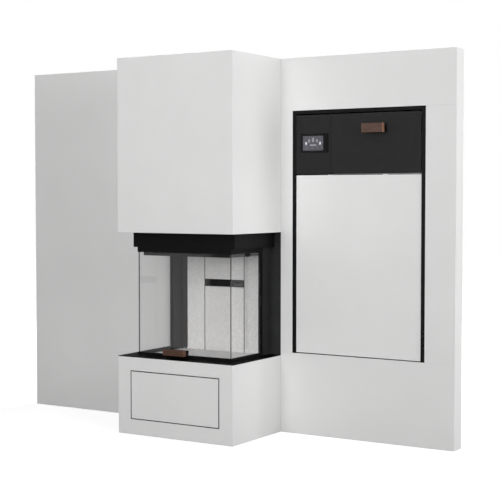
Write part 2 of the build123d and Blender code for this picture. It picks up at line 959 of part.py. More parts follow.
with BuildPart() as air_flap:
    rod((0, flap_y, air_z - flap_thickness / 2), z_axis, air_bore - flap_clearance, flap_thickness)
    rod((-air_outer - 10, flap_y, air_z), x_axis, flap_shaft, 2 * air_outer + 10 + actuator_gap)
air_flap.part.label = "air_flap"
export_step(air_flap.part, "parts/air_flap.step")

actuator_x = air_outer + actuator_gap + 0.3
with BuildPart() as flap_actuator:
    block(
        (actuator_x, actuator_x + actuator_width),
        (flap_y - actuator_depth / 2, flap_y + actuator_depth / 2),
        (air_z - actuator_drop, air_z - actuator_drop + actuator_height),
    )
    block(
        (air_box_width / 2, actuator_x + actuator_width),
        (air_box_y[1] - sheet, flap_y - actuator_depth / 2),
        (air_z - actuator_drop, air_z - actuator_drop + actuator_height),
    )
flap_actuator.part.label = "flap_actuator"
export_step(flap_actuator.part, "parts/flap_actuator.step")

# Module frame: four strips round the opening, a cross bar and a mullion behind the joints
frame_y = (wall_y, wall_y + frame_depth)
inner_top = module_top - frame_top
cover_y = (wall_y + cover_recess, wall_y + cover_recess + cover_thickness)
panel_y = (wall_y + panel_recess, wall_y + panel_recess + panel)
with BuildPart() as module_frame:
    for x in ((module_left, cover_left), (cover_right, module_right)):
        block(x, frame_y, (module_bottom, module_top))
    block((cover_left, cover_right), frame_y, (inner_top, module_top))
    block((cover_left, cover_right), (wall_y + 8, frame_y[1]), (module_bottom, module_bottom + 1))
    block(
        (cover_left, cover_right),
        (cover_y[1] + 0.5, frame_y[1]),
        (cover_top - 14, cover_top + tab_height),
    )
    block(
        (control_right - mullion, control_right + hatch_gap / 2),
        (panel_y[1] + 1, frame_y[1]),
        (cover_top + tab_height, inner_top),
    )
    block((hatch_right + joint_gap, cover_right), (panel_y[0], frame_y[1]), (keeper_bottom, keeper_top))
module_frame.part.label = "module_frame"
export_step(module_frame.part, "parts/module_frame.step")

# White cover panel, with two locating tabs on its top edge
with BuildPart() as cover_panel:
    block(
        (cover_left + cover_clearance, cover_right - cover_clearance),
        cover_y,
        (cover_bottom, cover_top),
    )
    for side in (-1, 1):
        x = module_centre + side * tab_spacing / 2
        block((x - tab_width / 2, x + tab_width / 2), cover_y, (cover_top, cover_top + tab_height))
cover_panel.part.label = "cover_panel"
export_step(cover_panel.part, "parts/cover_panel.step")

# Control panel with the bezel round the display
bezel_y = (panel_y[0] - bezel, panel_y[0])
display_x = (display_centre - display_width / 2, display_centre + display_width / 2)
display_height_z = (display_z - display_height / 2, display_z + display_height / 2)
with BuildPart() as control_panel:
    block((cover_left, control_right), panel_y, (panel_bottom, panel_top))
    block((cover_left, control_right - mullion), (panel_y[1], frame_y[1]), (panel_top - 3, panel_top))
    block(
        (bezel_left, bezel_right),
        bezel_y,
        (display_z - bezel_height / 2, display_z + bezel_height / 2),
    )
    block(display_x, bezel_y, display_height_z, Mode.SUBTRACT)
control_panel.part.label = "control_panel"
export_step(control_panel.part, "parts/control_panel.step")

with BuildPart() as display_screen:
    block(display_x, (panel_y[0] - 1, panel_y[0]), display_height_z)
display_screen.part.label = "display_screen"
export_step(display_screen.part, "parts/display_screen.step")

# Tilting fill hatch, with its two hinge knuckles
hinge_line = panel_y[1] + knuckle_radius - knuckle_sink
hinge_z = panel_bottom + hinge_rise
hinge_bore = hinge_pin + shaft_clearance
knuckle_xs = (hatch_left + hinge_inset, hatch_right - hinge_inset - knuckle_length)
with BuildPart() as hatch_panel:
    block((hatch_left, hatch_right), panel_y, (panel_bottom, panel_top))
    for x in knuckle_xs:
        rod((x, hinge_line, hinge_z), x_axis, knuckle_radius, knuckle_length)
        rod((x, hinge_line, hinge_z), x_axis, hinge_bore, knuckle_length, Mode.SUBTRACT)
hatch_panel.part.label = "hatch_panel"
export_step(hatch_panel.part, "parts/hatch_panel.step")

# Fixed half of the hinge: pins, ears and the strip behind them
ear_gap = 2
strip_y = (frame_y[1] + hinge_strip, frame_y[1] + hinge_strip + pan_wall)
with BuildPart() as hatch_hinge:
    for x in knuckle_xs:
        rod(
            (x - ear_gap - ear, hinge_line, hinge_z),
            x_axis,
            hinge_pin,
            knuckle_length + 2 * (ear_gap + ear),
        )
        for end in (x - ear_gap - ear, x + knuckle_length + ear_gap):
            block((end, end + ear), (hinge_line, strip_y[0]), (hinge_z - 5, hinge_z + 5))
    block((hatch_left + 8, cover_right), strip_y, (cover_top - 14, hinge_z + 6))
    for side_x in (hatch_left + 8, cover_right - ear):
        block((side_x, side_x + ear), (frame_y[1], strip_y[0]), (cover_top - 14, cover_top))
hatch_hinge.part.label = "hatch_hinge"
export_step(hatch_hinge.part, "parts/hatch_hinge.step")

# Cheeks on both sides of the hatch, and the tie rod between them
cheek_xs = (hatch_left + cheek_inset, hatch_right - cheek_inset - cheek)
bend = math.radians(cheek_angle)
tie_angle = math.radians(cheek_angle - 3)
tie_reach = cheek_radius - 14
tie_y = hinge_line + tie_reach * math.sin(tie_angle)
tie_z = hinge_z + tie_reach * math.cos(tie_angle)
arc_start = (panel_y[1], hinge_z + cheek_radius)
arc_middle = (
    hinge_line + cheek_radius * math.sin(bend / 2),
    hinge_z + cheek_radius * math.cos(bend / 2),
)
arc_end = (hinge_line + cheek_radius * math.sin(bend), hinge_z + cheek_radius * math.cos(bend))
cheek_foot = (hinge_line + cheek_low * math.sin(bend), hinge_z + cheek_low * math.cos(bend))
cheek_heel = (panel_y[1], hinge_z + cheek_low)
with BuildPart() as hatch_cheeks:
    for x in cheek_xs:
        with BuildSketch(Plane.YZ.offset(x)):
            with BuildLine():
                Line(cheek_heel, arc_start)
                ThreePointArc(arc_start, arc_middle, arc_end)
                Line(arc_end, cheek_foot)
                Line(cheek_foot, cheek_heel)
            make_face()
        extrude(amount=cheek)
    rod((cheek_xs[0], tie_y, tie_z), x_axis, tie_radius, cheek_xs[1] - cheek_xs[0])
hatch_cheeks.part.label = "hatch_cheeks"
export_step(hatch_cheeks.part, "parts/hatch_cheeks.step")

# Hatch handle
hatch_grip_y = (wall_y - hatch_grip_reach, wall_y - hatch_grip_reach + hatch_grip_depth)
hatch_grip_x = (
    hatch_grip_centre - hatch_grip_width / 2,
    hatch_grip_centre + hatch_grip_width / 2,
)
leg_z = (hatch_grip_bottom + bracket_inset, hatch_grip_bottom + hatch_grip_height / 2)
with BuildPart() as hatch_handle_grip:
    block(hatch_grip_x, hatch_grip_y, (hatch_grip_bottom, hatch_grip_bottom + hatch_grip_height))
    fillet(hatch_handle_grip.edges(), grip_round)
hatch_handle_grip.part.label = "hatch_handle_grip"
export_step(hatch_handle_grip.part, "parts/hatch_handle_grip.step")

with BuildPart() as hatch_handle_bracket:
    for x in (hatch_grip_x[0] + bracket_inset, hatch_grip_x[1] - bracket_inset - bracket_leg):
        block((x, x + bracket_leg), (hatch_grip_y[1], panel_y[0] - sheet), leg_z)
    block(
        (hatch_grip_x[0] + bracket_inset, hatch_grip_x[1] - bracket_inset),
        (panel_y[0] - sheet, panel_y[0]),
        leg_z,
    )
hatch_handle_bracket.part.label = "hatch_handle_bracket"
export_step(hatch_handle_bracket.part, "parts/hatch_handle_bracket.step")

# Auger axis, from its low end under the hopper up to its high end behind the fire chamber
auger_run = auger_low_x - auger_high_x
auger_rise = auger_high_z - auger_low_z
auger_slope = auger_rise / auger_run
auger_length = math.hypot(auger_run, auger_rise)
auger_start = (auger_low_x, wall_y + auger_y, auger_low_z)
auger_plane = Plane(origin=auger_start, x_dir=(0, 1, 0), z_dir=(-auger_run, 0, auger_rise))
from_start = (Align.CENTER, Align.CENTER, Align.MIN)

# Module casing of sheet, with its rear cover, feet and electrics
casing_left = module_centre - casing_width / 2
casing_right = module_centre + casing_width / 2
casing_front = frame_y[1]
casing_z = (casing_bottom, casing_top)
inside_left = casing_left + casing_wall
inside_right = casing_right - casing_wall
with BuildPart() as module_casing:
    for x in (casing_left, inside_right):
        block((x, x + casing_wall), (casing_front, rear_y - casing_wall), casing_z)
    for z in (casing_bottom, casing_top - casing_wall):
        block(
            (inside_left + joint_gap, inside_right - joint_gap),
            (casing_front, rear_y - casing_wall),
            (z, z + casing_wall),
        )
    with Locations(auger_plane):
        Cylinder(auger_tube + 2, auger_length, align=from_start, mode=Mode.SUBTRACT)
module_casing.part.label = "module_casing"
export_step(module_casing.part, "parts/module_casing.step")

inlet_x = casing_right - inlet_offset
inlet_z = casing_bottom + inlet_offset
with BuildPart() as module_back:
    block((casing_left, casing_right), (rear_y - casing_wall, rear_y), casing_z)
    block(
        (inlet_x - inlet_width / 2, inlet_x + inlet_width / 2),
        (rear_y - casing_wall, rear_y),
        (inlet_z - inlet_height / 2, inlet_z + inlet_height / 2),
        Mode.SUBTRACT,
    )
module_back.part.label = "module_back"
export_step(module_back.part, "parts/module_back.step")

foot_ys = (wall_y + wall_thickness + foot_offset, rear_y - foot_offset)
with BuildPart() as module_feet:
    for x in (casing_left + foot_offset, casing_right - foot_offset):
        for y in foot_ys:
            rod((x, y, 0), z_axis, 22, 8)
            rod((x, y, 8), z_axis, 6, casing_bottom - 8)
module_feet.part.label = "module_feet"
export_step(module_feet.part, "parts/module_feet.step")

# Control box inside the casing, and the mains inlet in its rear cover
with BuildPart() as electrics:
    block(
        (inside_left, inside_left + control_depth),
        (casing_front + control_offset, casing_front + control_offset + control_length),
        (casing_bottom + control_offset, casing_bottom + control_offset + control_height),
    )
    block(
        (inlet_x - inlet_width / 2, inlet_x + inlet_width / 2),
        (rear_y - inlet_depth, rear_y),
        (inlet_z - inlet_height / 2, inlet_z + inlet_height / 2),
    )
    block(
        (inlet_x - inlet_width / 4, inlet_x + inlet_width / 4),
        (rear_y - inlet_depth / 2, rear_y),
        (inlet_z - inlet_height / 4, inlet_z + inlet_height / 4),
        Mode.SUBTRACT,
    )
electrics.part.label = "electrics"
export_step(electrics.part, "parts/electrics.step")

# Hopper: a bin, a funnel of four flat plates and a neck of four plates that ends on the auger's housing
hopper_y = (wall_y + hopper_front, wall_y + hopper_back)
funnel_y = (hopper_y[0] + hopper_y[1]) / 2
hopper_depth = hopper_y[1] - hopper_y[0]
auger_z_at_outlet = auger_low_z + (auger_low_x - outlet_x) * auger_slope
outlet_z = auger_z_at_outlet + neck_length
neck_z = (auger_z_at_outlet - auger_tube, outlet_z)
with BuildPart() as plate_joints:
    for wall, mode in ((hopper_wall - joint_gap, Mode.ADD), (hopper_wall, Mode.SUBTRACT)):
        with BuildSketch(Plane.XY.offset(hopper_shoulder)):
            with Locations((module_centre, funnel_y)):
                Rectangle(hopper_width - 2 * wall, 2 * hopper_depth)
        with BuildSketch(Plane.XY.offset(outlet_z)):
            with Locations((outlet_x, funnel_y)):
                Rectangle(outlet_width - 2 * wall, 2 * hopper_depth)
        loft(ruled=True, mode=mode)
        x = outlet_width / 2 - wall
        y = (funnel_y - hopper_depth, funnel_y + hopper_depth)
        block((outlet_x - x, outlet_x + x), y, neck_z, mode)
with BuildPart() as hopper:
    for wall, mode in ((0, Mode.ADD), (hopper_wall, Mode.SUBTRACT)):
        x = hopper_width / 2 - wall
        y = (hopper_y[0] + wall, hopper_y[1] - wall)
        block(
            (module_centre - x, module_centre + x), y, (hopper_shoulder + joint_gap, hopper_top), mode
        )
        with BuildSketch(Plane.XY.offset(hopper_shoulder)):
            with Locations((module_centre, funnel_y)):
                Rectangle(hopper_width - 2 * wall, hopper_depth - 2 * wall)
        with BuildSketch(Plane.XY.offset(outlet_z)):
            with Locations((outlet_x, wall_y + auger_y)):
                Rectangle(outlet_width - 2 * wall, outlet_depth - 2 * wall)
        loft(ruled=True, mode=mode)
        x = outlet_width / 2 - wall
        y = outlet_depth / 2 - wall
        block(
            (outlet_x - x, outlet_x + x), (wall_y + auger_y - y, wall_y + auger_y + y), neck_z, mode
        )
    add(plate_joints.part, mode=Mode.SUBTRACT)
    block(
        (outlet_x - outlet_width, outlet_x + outlet_width),
        (funnel_y - hopper_depth, funnel_y + hopper_depth),
        (outlet_z - joint_gap, outlet_z),
        Mode.SUBTRACT,
    )
    with Locations(auger_plane):
        Cylinder(auger_tube + joint_gap, auger_length, align=from_start, mode=Mode.SUBTRACT)
        with Locations((0, -neck_floor, 0)):
            Box(
                2 * outlet_depth,
                4 * auger_tube,
                auger_length,
                align=(Align.CENTER, Align.MIN, Align.MIN),
                mode=Mode.SUBTRACT,
            )
hopper.part.label = "hopper"
export_step(hopper.part, "parts/hopper.step")

grille_count = int((hopper_width - 2 * grille_pitch) / grille_pitch)
with BuildPart() as hopper_grille:
    for index in range(grille_count + 1):
        x = module_centre + (index - grille_count / 2) * grille_pitch
        rod((x, hopper_y[0], hopper_top + grille_bar), y_axis, grille_bar, hopper_depth)
hopper_grille.part.label = "hopper_grille"
export_step(hopper_grille.part, "parts/hopper_grille.step")

# Auger housing, with its inlet under the neck and its outlet over the drop chute
tube_bore = auger_tube - auger_wall
inlet_half = (outlet_width / 2 - 8, outlet_depth / 2 - 6)
chute_z = auger_low_z + (auger_low_x - chute_x) * auger_slope
with BuildPart() as auger_housing:
    with Locations(auger_plane):
        Cylinder(auger_tube, auger_length, align=from_start)
        Cylinder(tube_bore, auger_length - auger_wall, align=from_start, mode=Mode.SUBTRACT)
    block(
        (outlet_x - inlet_half[0], outlet_x + inlet_half[0]),
        (wall_y + auger_y - inlet_half[1], wall_y + auger_y + inlet_half[1]),
        (auger_z_at_outlet, outlet_z),
        Mode.SUBTRACT,
    )
    block(
        (chute_x - drop_half, chute_x + drop_half),
        (wall_y + auger_y - inlet_half[1], wall_y + auger_y + inlet_half[1]),
        (chute_z - 3 * auger_tube, chute_z),
        Mode.SUBTRACT,
    )
auger_housing.part.label = "auger_housing"
export_step(auger_housing.part, "parts/auger_housing.step")

# Auger screw: a shaft with one helical flight, built upright and then laid on its axis
flight_middle = (screw_shaft + screw_radius) / 2
with BuildPart() as screw:
    with Locations((0, 0, -screw_tail)):
        Cylinder(screw_shaft, auger_length + screw_tail - screw_end, align=from_start)
    with BuildLine():
        flight_line = Helix(
            screw_pitch, auger_length - 3 * screw_end, flight_middle, center=(0, 0, screw_end)
        )
    with BuildSketch(Plane(origin=flight_line @ 0, x_dir=(1, 0, 0), z_dir=flight_line % 0)):
        Rectangle(screw_radius - screw_shaft + 1, flight)
    sweep(path=flight_line, is_frenet=True)
auger_screw = auger_plane.location * screw.part
auger_screw.label = "auger_screw"
export_step(auger_screw, "parts/auger_screw.step")

# Gear motor on the auger's low end
with BuildPart(auger_plane) as auger_motor:
    with Locations((0, 0, -gearbox_length)):
        Box(gearbox, gearbox, gearbox_length, align=from_start)
    with Locations((0, 0, -gearbox_length - motor_length)):
        Cylinder(motor_radius, motor_length, align=from_start)
    with Locations((0, 0, -screw_tail - 1)):
        Cylinder(screw_shaft + shaft_clearance, screw_tail + 1, align=from_start, mode=Mode.SUBTRACT)
auger_motor.part.label = "auger_motor"
export_step(auger_motor.part, "parts/auger_motor.step")

# Drop chute from the auger down to the slot behind the fire chamber
chute_high = chute_z - chute_drop
chute_low = slot_top + sheet
chute_back = wall_y + auger_y + chute_mouth / 2
chute_front = wall_y + auger_y - chute_mouth / 2
with BuildPart() as drop_chute:
    for wall, mode in ((0, Mode.ADD), (sheet, Mode.SUBTRACT)):
        with BuildSketch(Plane.YZ.offset(chute_x - chute_width / 2 + wall)):
            with BuildLine():
                Polyline(
                    (chute_front + wall, chute_high),
                    (chute_back - wall, chute_high),
                    (slot_back - wall, chute_low),
                    (slot_back - mouth_depth + wall, chute_low),
                    close=True,
                )
            make_face()
        extrude(amount=chute_width - 2 * wall, mode=mode)
    with Locations(auger_plane):
        Cylinder(auger_tube + joint_gap, auger_length, align=from_start, mode=Mode.SUBTRACT)
drop_chute.part.label = "drop_chute"
export_step(drop_chute.part, "parts/drop_chute.step")
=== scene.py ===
import math
import bmesh
import bpy
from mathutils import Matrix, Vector


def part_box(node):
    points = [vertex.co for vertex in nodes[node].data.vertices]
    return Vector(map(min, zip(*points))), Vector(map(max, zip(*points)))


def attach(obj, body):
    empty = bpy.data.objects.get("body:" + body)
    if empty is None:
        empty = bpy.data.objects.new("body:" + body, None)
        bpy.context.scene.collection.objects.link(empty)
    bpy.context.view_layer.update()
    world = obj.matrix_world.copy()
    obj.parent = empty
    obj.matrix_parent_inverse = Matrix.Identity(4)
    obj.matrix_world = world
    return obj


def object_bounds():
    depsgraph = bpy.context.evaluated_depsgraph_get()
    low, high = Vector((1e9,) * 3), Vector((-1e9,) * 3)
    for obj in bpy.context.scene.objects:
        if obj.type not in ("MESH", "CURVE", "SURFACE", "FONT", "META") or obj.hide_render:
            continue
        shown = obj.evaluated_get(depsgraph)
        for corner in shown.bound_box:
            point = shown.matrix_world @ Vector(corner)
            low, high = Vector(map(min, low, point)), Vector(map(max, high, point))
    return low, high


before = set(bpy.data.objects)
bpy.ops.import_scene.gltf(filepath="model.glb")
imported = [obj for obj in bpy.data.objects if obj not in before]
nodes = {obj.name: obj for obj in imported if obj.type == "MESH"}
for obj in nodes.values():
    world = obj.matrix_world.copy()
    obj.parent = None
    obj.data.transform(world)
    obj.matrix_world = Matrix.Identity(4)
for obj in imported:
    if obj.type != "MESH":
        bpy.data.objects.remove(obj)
cad_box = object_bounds()
scene = bpy.context.scene

# The joints of the fire chamber's rear lining lie at this distance on both sides of its middle.
LINING_JOINT = 0.14225
# A stripe of soot over such a joint
SOOT_HALF_WIDTH = 0.0026
# The dark bezel round the display, on the control panel
BEZEL_X = (0.531, 0.716)
BEZEL_RIM = 0.013
# Painted shade in the gap round the access panel: a dark line on the panel's own rim, and on the rim of the
# opening
GAP_SHADE_PANEL = 0.001
GAP_SHADE_OPENING = 0.005


# Camera, at the photograph's place
camera_data = bpy.data.cameras.new("camera")
camera = bpy.data.objects.new("camera", camera_data)
scene.collection.objects.link(camera)
yaw = math.radians(31.745)
pitch = math.radians(2.505)
look = Vector((-math.sin(yaw) * math.cos(pitch), math.cos(yaw) * math.cos(pitch), -math.sin(pitch)))
camera.location = (4.1006, -6.2624, 1.3995)
camera.rotation_mode = "QUATERNION"
camera.rotation_quaternion = look.to_track_quat("-Z", "Y")
camera_data.sensor_width = 36
camera_data.lens = 89.56
camera_data.clip_start = 0.1
camera_data.clip_end = 100
scene.camera = camera


# Nodes
def calculated(tree, operation, first, second):
    """Two values put together by a Math node. Each is a number or another node's output."""
    node = tree.nodes.new("ShaderNodeMath")
    node.operation = operation
    for socket, value in zip(node.inputs, (first, second)):
        if isinstance(value, (int, float)):
            socket.default_value = value
        else:
            tree.links.new(value, socket)
    return node.outputs[0]


def map_range(tree, value, low, high, start=0.0, end=1.0):
    """The value, led from the range start to end over to the range low to high."""
    node = tree.nodes.new("ShaderNodeMapRange")
    node.inputs["From Min"].default_value = start
    node.inputs["From Max"].default_value = end
    node.inputs["To Min"].default_value = low
    node.inputs["To Max"].default_value = high
    tree.links.new(value, node.inputs["Value"])
    return node.outputs["Result"]


# Materials
class Shader:
    """A material with a Principled shader, and short calls for the nodes that feed it."""

    def __init__(self, name, color, rough=0.5, metal=0.0, specular=0.5):
        self.material = bpy.data.materials.new(name)
        self.material.use_nodes = True
        self.tree = self.material.node_tree
        self.main = self.tree.nodes["Principled BSDF"]
        self.output = self.tree.nodes["Material Output"]
        self.main.inputs["Base Color"].default_value = (*color, 1)
        self.main.inputs["Roughness"].default_value = rough
        self.main.inputs["Metallic"].default_value = metal
        self.main.inputs["Specular IOR Level"].default_value = specular
        self.color = color
        coordinate = self.add("ShaderNodeTexCoord")
        self.place = coordinate.outputs["Object"]
        self.height = None

    def add(self, kind, **values):
        node = self.tree.nodes.new(kind)
        for key, value in values.items():
            setattr(node, key, value)
        return node

    def join(self, start, end):
        self.tree.links.new(start, end)

    def stretched(self, scale):
        node = self.add("ShaderNodeMapping")
        node.inputs["Scale"].default_value = scale
        self.join(self.place, node.inputs["Vector"])
        return node.outputs["Vector"]

    def noise(self, size, detail=4.0, rough=0.55, distort=0.0, vector=None):
        """Noise whose features are about size metres wide, from 0 to 1."""
        node = self.add("ShaderNodeTexNoise")
        node.inputs["Scale"].default_value = 1 / size
        node.inputs["Detail"].default_value = detail
        node.inputs["Roughness"].default_value = rough
        node.inputs["Distortion"].default_value = distort
        self.join(vector or self.place, node.inputs["Vector"])
        return node.outputs["Fac"]

    def cells(self, size):
        node = self.add("ShaderNodeTexVoronoi")
        node.inputs["Scale"].default_value = 1 / size
        self.join(self.place, node.inputs["Vector"])
        return node

    def ranged(self, value, low, high, start=0.0, end=1.0):
        return map_range(self.tree, value, low, high, start, end)

    def ramp(self, value, stops):
        node = self.add("ShaderNodeValToRGB")
        elements = node.color_ramp.elements
        while len(elements) < len(stops):
            elements.new(0.5)
        for element, (position, color) in zip(elements, stops):
            element.position = position
            element.color = (*color, 1)
        self.join(value, node.inputs["Fac"])
        return node.outputs["Color"]

    def shade(self, color, value, low, high):
        """The colour, made darker or lighter by the value."""
        node = self.add("ShaderNodeMix", data_type="RGBA", blend_type="MULTIPLY")
        node.inputs["Factor"].default_value = 1
        gray = self.add("ShaderNodeCombineColor")
        level = self.ranged(value, low, high, 0.25, 0.75)
        for channel in ("Red", "Green", "Blue"):
            self.join(level, gray.inputs[channel])
        if isinstance(color, tuple):
            node.inputs["A"].default_value = (*color, 1)
        else:
            self.join(color, node.inputs["A"])
        self.join(gray.outputs["Color"], node.inputs["B"])
        return node.outputs["Result"]

    def part_of_place(self, axis):
        parts = self.add("ShaderNodeSeparateXYZ")
        self.join(self.place, parts.inputs["Vector"])
        return parts.outputs[axis]

    def inside(self, low, high):
        """1 where x and z lie between low and high, and 0 elsewhere."""
        result = 1.0
        for axis, start, end in (("X", low[0], high[0]), ("Z", low[1], high[1])):
            node = self.add("ShaderNodeMath", operation="COMPARE")
            node.inputs[1].default_value = (start + end) / 2
            node.inputs[2].default_value = (end - start) / 2
            self.join(self.part_of_place(axis), node.inputs[0])
            result = calculated(self.tree, "MULTIPLY", result, node.outputs[0])
        return result

    def rim(self, low, high, width):
        """0 in the middle of the box, rising to 1 over the last width metres before its ends in x."""
        away = calculated(self.tree, "SUBTRACT", self.part_of_place("X"), (low.x + high.x) / 2)
        size = calculated(self.tree, "ABSOLUTE", away, 0.0)
        half = (high.x - low.x) / 2
        return self.ranged(size, 0.0, 1.0, half - width, half)

    def mixed(self, share, color, other):
        """color where share is 0, other where it is 1."""
        node = self.add("ShaderNodeMix", data_type="RGBA")
        self.join(share, node.inputs["Factor"])
        self.join(color, node.inputs["A"])
        node.inputs["B"].default_value = (*other, 1)
        return node.outputs["Result"]

    def between(self, share, value, other):
        """value where share is 0, other where it is 1, both numbers."""
        node = self.add("ShaderNodeMix", data_type="FLOAT")
        self.join(share, node.inputs["Factor"])
        self.join(value, node.inputs["A"])
        node.inputs["B"].default_value = other
        return node.outputs["Result"]

    def base(self, color):
        self.join(color, self.main.inputs["Base Color"])

    def rough(self, value, low, high):
        self.join(self.ranged(value, low, high, 0.25, 0.75), self.main.inputs["Roughness"])

    def bump(self, value, depth):
        """Relief of about depth metres, on top of what is there."""
        node = self.add("ShaderNodeBump")
        node.inputs["Distance"].default_value = depth
        self.join(value, node.inputs["Height"])
        if self.height is not None:
            self.join(self.height, node.inputs["Normal"])
        self.height = node.outputs["Normal"]
        self.join(self.height, self.main.inputs["Normal"])


def white_paint(name, tone=0.80, gap=None, panel=None):
    """Matt paint on board: roller stipple, faint broad unevenness.
    The edges of an opening gap, or all but a panel, both given as low and high (x, z), get painted shade: a
    dark line that stands in for the shade in the gap."""
    s = Shader(name, (tone, tone, tone * 0.995), 0.75, specular=0.3)
    broad = s.noise(0.45, 3)
    fine = s.noise(0.006, 3)
    color = s.shade(s.color, broad, 0.975, 1.02)
    color = s.shade(color, fine, 0.985, 1.01)
    # Painted shade: a dark line at the rims of the opening, or round the panel, for the shade in the gap.
    if gap is not None:
        color = s.mixed(s.inside(*gap), color, (0.06, 0.06, 0.06))
    if panel is not None:
        color = s.mixed(s.ranged(s.inside(*panel), 1.0, 0.0), color, (0.06, 0.06, 0.06))
    s.base(color)
    s.rough(s.noise(0.05, 3), 0.68, 0.86)
    s.bump(s.noise(0.0045, 3, 0.6), 0.00035)
    s.bump(s.noise(0.09, 2), 0.0008)
    return s.material


def black_paint(name, tone=0.02, rough=(0.42, 0.6), gloss=0.25, grain=0.0009, panel=None):
    """Heat-proof black paint on steel: fine grain, faint dust and rub marks.
    Inside panel, given as low and high (x, z), it is smooth and darker."""
    s = Shader(name, (tone, tone, tone * 1.03), 0.5, specular=gloss)
    dust = s.noise(0.12, 5, 0.65)
    color = s.shade(s.color, dust, 0.85, 1.2)
    color = s.shade(color, s.noise(grain * 2, 2), 0.88, 1.12)
    rough_map = s.ranged(s.noise(0.035, 5, 0.7), rough[0], rough[1], 0.25, 0.75)
    if panel is not None:
        inside = s.inside(*panel)
        color = s.mixed(inside, color, (tone * 0.35, tone * 0.35, tone * 0.37))
        rough_map = s.between(inside, rough_map, 0.22)
    s.base(color)
    s.join(rough_map, s.main.inputs["Roughness"])
    s.bump(s.noise(grain, 2, 0.6), 0.00012)
    return s.material


def bare_steel(name, tone=0.42, rough=0.32, along=(1, 40, 40)):
    """Drawn steel: fine lines along the piece."""
    s = Shader(name, (tone, tone, tone * 1.02), rough, metal=1.0)
    lines = s.noise(0.02, 4, 0.6, vector=s.stretched(along))
    color = s.shade(s.color, lines, 0.86, 1.08)
    s.base(s.shade(color, s.noise(0.07, 4), 0.9, 1.06))
    s.rough(lines, rough - 0.06, rough + 0.14)
    s.bump(lines, 0.00005)
    return s.material


def galvanised(name):
    """Zinc-coated sheet: the flakes of the zinc in slightly different greys."""
    s = Shader(name, (0.42, 0.44, 0.46), 0.42, metal=0.9)
    flakes = s.cells(0.012)
    bend = s.noise(0.01, 3, distort=1.2)
    color = s.shade(s.color, flakes.outputs["Color"], 0.94, 1.04)
    s.base(s.shade(color, bend, 0.94, 1.04))
    s.rough(flakes.outputs["Color"], 0.38, 0.5)
    s.bump(bend, 0.00004)
    return s.material


def stone_lining(name, tone=0.50, joints=()):
    """Pressed lining board: grains and small flakes, a few pits, and soot in the joints at these x."""
    s = Shader(name, (tone, tone * 0.99, tone * 0.985), 0.9, specular=0.25)
    grains = s.cells(0.004)
    flakes = s.cells(0.011)
    color = s.shade(s.color, grains.outputs["Color"], 0.90, 1.08)
    color = s.shade(color, flakes.outputs["Color"], 0.97, 1.02)
    color = s.shade(color, s.noise(0.16, 5), 0.98, 1.015)
    for x in joints:
        stripe = s.inside((x - SOOT_HALF_WIDTH, cad_box[0][2]), (x + SOOT_HALF_WIDTH, cad_box[1][2]))
        color = s.mixed(stripe, color, (0.03, 0.03, 0.03))
    s.base(color)
    s.rough(grains.outputs["Color"], 0.8, 0.95)
    s.bump(grains.outputs["Distance"], 0.0003)
    s.bump(s.noise(0.012, 4), 0.0004)
    return s.material


def dark_wood(name, piece, light=(0.115, 0.052, 0.029), dark=(0.045, 0.020, 0.011), rim=1.5):
    """Oiled dark wood with its grain along x, and ends on the piece made lighter: partly wear, partly a
    painted highlight.
    """
    s = Shader(name, light, 0.5, specular=0.4)
    wave = s.noise(0.008, 6, 0.6, 1.5, vector=s.stretched((0.16, 1, 1)))
    fibre = s.noise(0.0014, 4, 0.7, vector=s.stretched((0.05, 1, 1)))
    middle = tuple((a + b) / 2 for a, b in zip(light, dark))
    grain = s.ramp(wave, [(0.28, dark), (0.48, middle), (0.7, light)])
    color = s.shade(grain, fibre, 0.72, 1.18)
    # Painted highlight and wear: the piece is made lighter towards its ends in x, by the factor rim.
    low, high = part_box(piece)
    edge = s.rim(low, high, 0.006)
    s.base(s.shade(color, s.ranged(edge, 0.25, 0.75), 1.0, rim))
    s.rough(fibre, 0.42, 0.62)
    s.bump(fibre, 0.00015)
    s.bump(wave, 0.0002)
    return s.material


def sawn_timber(name):
    """Sawn softwood, pale, with long grain up the stud."""
    s = Shader(name, (0.62, 0.45, 0.27), 0.75, specular=0.25)
    rings = s.noise(0.03, 6, 0.6, 1.2, vector=s.stretched((1, 1, 0.06)))
    fibre = s.noise(0.003, 4, 0.7, vector=s.stretched((1, 1, 0.03)))
    grain = s.ramp(rings, [(0.3, (0.40, 0.25, 0.12)), (0.5, (0.58, 0.41, 0.24)), (0.7, (0.68, 0.52, 0.33))])
    s.base(s.shade(grain, fibre, 0.86, 1.08))
    s.rough(fibre, 0.65, 0.85)
    s.bump(fibre, 0.0004)
    return s.material


def rubber(name):
    s = Shader(name, (0.03, 0.03, 0.03), 0.7, specular=0.3)
    wave = s.add("ShaderNodeTexWave", bands_direction="Z")
    wave.inputs["Scale"].default_value = 32
    wave.inputs["Distortion"].default_value = 0
    s.join(s.place, wave.inputs["Vector"])
    s.base(s.shade(s.color, s.noise(0.01, 4), 0.8, 1.3))
    s.rough(s.noise(0.004, 3), 0.6, 0.8)
    s.bump(wave.outputs["Fac"], 0.0006)
    return s.material


def cast_iron(name):
    s = Shader(name, (0.10, 0.10, 0.105), 0.6, metal=0.4, specular=0.4)
    s.base(s.shade(s.color, s.noise(0.03, 5), 0.75, 1.3))
    s.rough(s.noise(0.01, 4), 0.5, 0.75)
    s.bump(s.noise(0.002, 4, 0.65), 0.0004)
    return s.material


def plastic(name, tone=0.03, rough=0.5):
    s = Shader(name, (tone, tone, tone), rough, specular=0.45)
    s.base(s.shade(s.color, s.noise(0.02, 4), 0.88, 1.12))
    s.rough(s.noise(0.008, 3), rough - 0.06, rough + 0.08)
    s.bump(s.noise(0.0006, 2), 0.00008)
    return s.material


